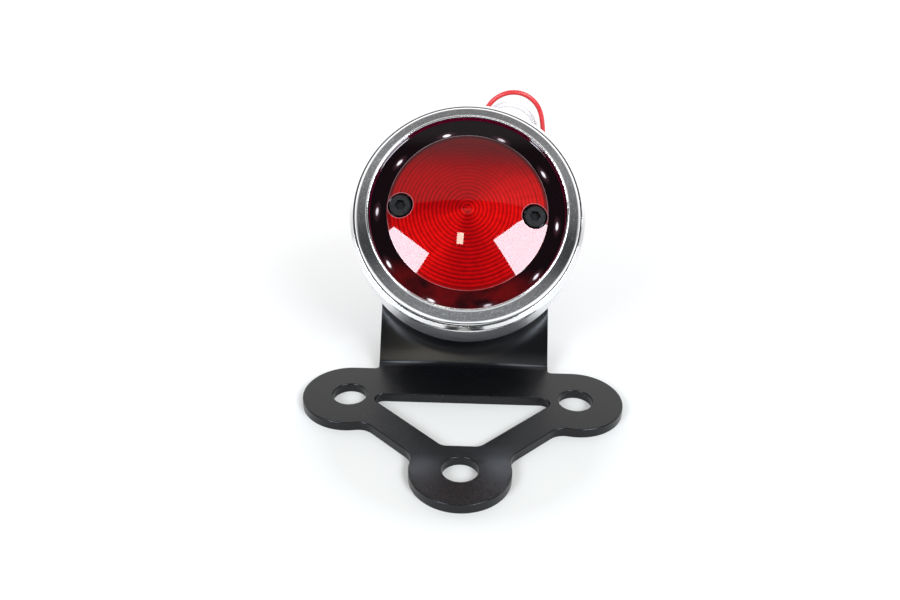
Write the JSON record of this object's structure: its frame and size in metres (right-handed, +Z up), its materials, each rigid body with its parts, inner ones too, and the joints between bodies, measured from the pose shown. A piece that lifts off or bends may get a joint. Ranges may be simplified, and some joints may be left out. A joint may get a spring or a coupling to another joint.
{
  "type": "motorcycle tail light",
  "caption": "Round red-lensed tail light in a polished metal housing on a black bent sheet bracket with mounting ears and wire leads.",
  "frame": {"origin": "centre of the front mounting hole on the bracket's underside", "axes": "+Z up from the mounting plate, +Y to the rear of the bracket behind the lamp, +X to the right seen from the lens side; the lens looks towards -Y and up"},
  "size_m": [0.085, 0.1206, 0.0698],
  "materials": {
    "coat_black": "satin powder coat",
    "polished_alloy": "polished, turned",
    "lens_red": "glossy tinted",
    "rubber_black": "matte",
    "black_oxide": "black oxide",
    "zinc_steel": "zinc plated",
    "brass_plain": "plain",
    "board_green": "solder mask",
    "carrier_white": "moulded",
    "led_body": "clear resin",
    "chip_black": "moulded",
    "sleeve_blue": "shrink sleeve",
    "lead_red": "extruded",
    "lead_white": "extruded",
    "tie_black": "moulded",
    "tinned_copper": "tinned"
  },
  "bodies": {
    "root": {"mounting_bracket": "coat_black", "housing": "polished_alloy", "rear_gasket": "rubber_black", "bezel_ring": "polished_alloy", "bezel_seal": "rubber_black", "lens": "lens_red", "lens_gasket": "rubber_black", "lens_screws": "black_oxide", "lens_spacers": "brass_plain", "led_carrier": "carrier_white", "running_light_board": "board_green", "running_light_leds": "led_body", "brake_light_board": "board_green", "brake_light_leds": "led_body", "jumper_pins": "brass_plain", "resistors": "chip_black", "driver_chip": "chip_black", "bridge_rectifier": "chip_black", "capacitor": "sleeve_blue", "lead_grommet": "rubber_black", "mounting_bolts": "zinc_steel", "flat_washers": "zinc_steel", "spring_washers": "zinc_steel", "red_lead_inside": "lead_red", "white_lead_inside": "lead_white", "red_lead": "lead_red", "white_lead": "lead_white", "red_lead_coil": "lead_red", "white_lead_coil": "lead_white", "coil_tie": "tie_black", "tinned_ends": "tinned_copper"}
  },
  "joints": []
}
